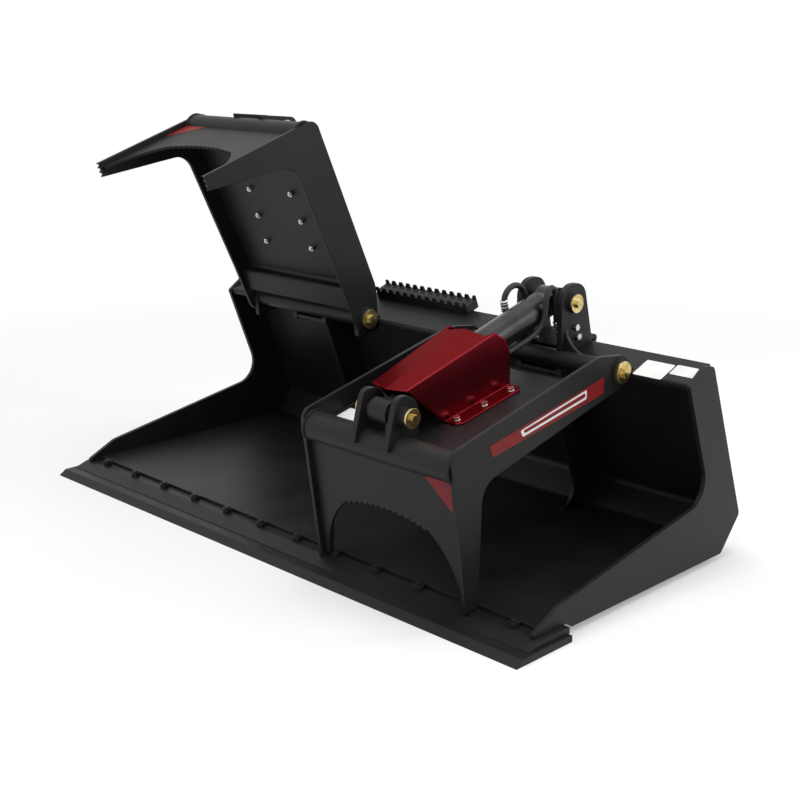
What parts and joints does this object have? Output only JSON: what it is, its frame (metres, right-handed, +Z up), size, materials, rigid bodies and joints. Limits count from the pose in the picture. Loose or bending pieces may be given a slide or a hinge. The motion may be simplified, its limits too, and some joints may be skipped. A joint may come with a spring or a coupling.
{
  "type": "scrap grapple bucket",
  "caption": "Loader grapple bucket with straight cutting edge and two hydraulic grapple arms that open and shut one by one, for scrap and brush.",
  "frame": {"origin": "middle of the underside of the middle wear runner, on the ground", "axes": "X runs across the bucket to the shut arm's side, Y runs from the cutting edge to the machine side, Z is up"},
  "size_m": [1.884, 0.9701, 1.1134],
  "materials": {
    "black_powder_coat": "satin",
    "candy_red": "gloss",
    "yellow_zinc": "satin",
    "bright_zinc": "satin",
    "hard_chrome": "polished",
    "bare_steel": "machined",
    "hose_rubber": "matte"
  },
  "bodies": {
    "bucket": {"bucket_shell": "black_powder_coat", "right_side_plate": "black_powder_coat", "left_side_plate": "black_powder_coat", "top_bar": "black_powder_coat", "base_edge": "black_powder_coat", "bolt_on_edge": "black_powder_coat", "edge_bolts": "black_powder_coat", "edge_nuts": "black_powder_coat", "wear_runners": "black_powder_coat", "back_ribs": "black_powder_coat", "mounting_plate": "black_powder_coat", "mounting_top_hook": "black_powder_coat", "mounting_lower_rail": "black_powder_coat", "step_tread": "black_powder_coat", "pivot_tubes": "black_powder_coat", "pivot_lugs": "black_powder_coat", "cylinder_ears": "black_powder_coat", "ear_gussets": "black_powder_coat", "hose_blocks": "black_powder_coat", "hose_fittings": "bright_zinc", "right_base_hose": "hose_rubber", "right_rod_hose": "hose_rubber", "left_base_hose": "hose_rubber", "left_rod_hose": "hose_rubber"},
    "right_grapple": {"right_inner_plate": "black_powder_coat", "right_outer_plate": "black_powder_coat", "right_pivot_pins": "yellow_zinc", "right_skin_plate": "black_powder_coat", "right_knuckle_tube": "black_powder_coat", "right_front_plate": "black_powder_coat", "right_knuckle_ears": "black_powder_coat", "right_knuckle_pin": "yellow_zinc", "right_cylinder_guard": "candy_red", "right_guard_bolts": "bright_zinc"},
    "right_rod": {"right_piston_rod": "hard_chrome", "right_piston": "bare_steel", "right_rod_eye": "black_powder_coat"},
    "right_barrel": {"right_barrel": "black_powder_coat", "right_barrel_gland": "black_powder_coat", "right_barrel_fittings": "bright_zinc", "right_base_pin": "yellow_zinc"},
    "left_grapple": {"left_inner_plate": "black_powder_coat", "left_outer_plate": "black_powder_coat", "left_pivot_pins": "yellow_zinc", "left_skin_plate": "black_powder_coat", "left_knuckle_tube": "black_powder_coat", "left_front_plate": "black_powder_coat", "left_knuckle_ears": "black_powder_coat", "left_knuckle_pin": "yellow_zinc", "left_cylinder_guard": "candy_red", "left_guard_bolts": "bright_zinc"},
    "left_rod": {"left_piston_rod": "hard_chrome", "left_piston": "bare_steel", "left_rod_eye": "black_powder_coat"},
    "left_barrel": {"left_barrel": "black_powder_coat", "left_barrel_gland": "black_powder_coat", "left_barrel_fittings": "bright_zinc", "left_base_pin": "yellow_zinc"},
    "right_base_pins": {"right_base_pin_ends": "yellow_zinc"},
    "left_base_pins": {"left_base_pin_ends": "yellow_zinc"}
  },
  "joints": [
    {"name": "right_swing", "type": "hinge", "parent": "bucket", "child": "right_grapple", "pos_m": [0.4625, 0.182, 0.514], "axis": [1, 0, 0], "range_deg": [-79.5, 0]},
    {"name": "right_base_turn", "type": "hinge", "parent": "bucket", "child": "right_base_pins", "pos_m": [0.4625, 0.218, 0.66], "axis": [1, 0, 0], "range_deg": [-83.5, 0], "deforming": ["right_base_hose", "right_rod_hose"]},
    {"name": "right_knuckle", "type": "hinge", "parent": "right_grapple", "child": "right_rod", "pos_m": [0.4625, -0.392, 0.478], "axis": [1, 0, 0], "range_deg": [-4, 0]},
    {"name": "right_stroke", "type": "slide", "parent": "right_rod", "child": "right_barrel", "axis": [0, -0.9583, -0.2859], "range_m": [0, 0.189]},
    {"name": "left_swing", "type": "hinge", "parent": "bucket", "child": "left_grapple", "pos_m": [-0.4625, 0.182, 0.514], "axis": [1, 0, 0], "range_deg": [0, 79.5]},
    {"name": "left_base_turn", "type": "hinge", "parent": "bucket", "child": "left_base_pins", "pos_m": [-0.4625, 0.218, 0.66], "axis": [1, 0, 0], "range_deg": [0, 83.5], "deforming": ["left_base_hose", "left_rod_hose"]},
    {"name": "left_knuckle", "type": "hinge", "parent": "left_grapple", "child": "left_rod", "pos_m": [-0.4625, 0.042, 1.07183], "axis": [1, 0, 0], "range_deg": [0, 4]},
    {"name": "left_stroke", "type": "slide", "parent": "left_rod", "child": "left_barrel", "axis": [0, 0.393, -0.9195], "range_m": [0, 0.189]}
  ],
  "couplings": [
    {"joint": "right_base_turn", "follows": "right_swing", "ratio": 1.05},
    {"joint": "left_base_turn", "follows": "left_swing", "ratio": 1.05},
    {"joint": "right_knuckle", "follows": "right_swing", "ratio": 0.049974},
    {"joint": "right_stroke", "follows": "right_swing", "m_per_rad": -0.136},
    {"joint": "left_knuckle", "follows": "left_swing", "ratio": 0.049974},
    {"joint": "left_stroke", "follows": "left_swing", "m_per_rad": 0.136}
  ]
}
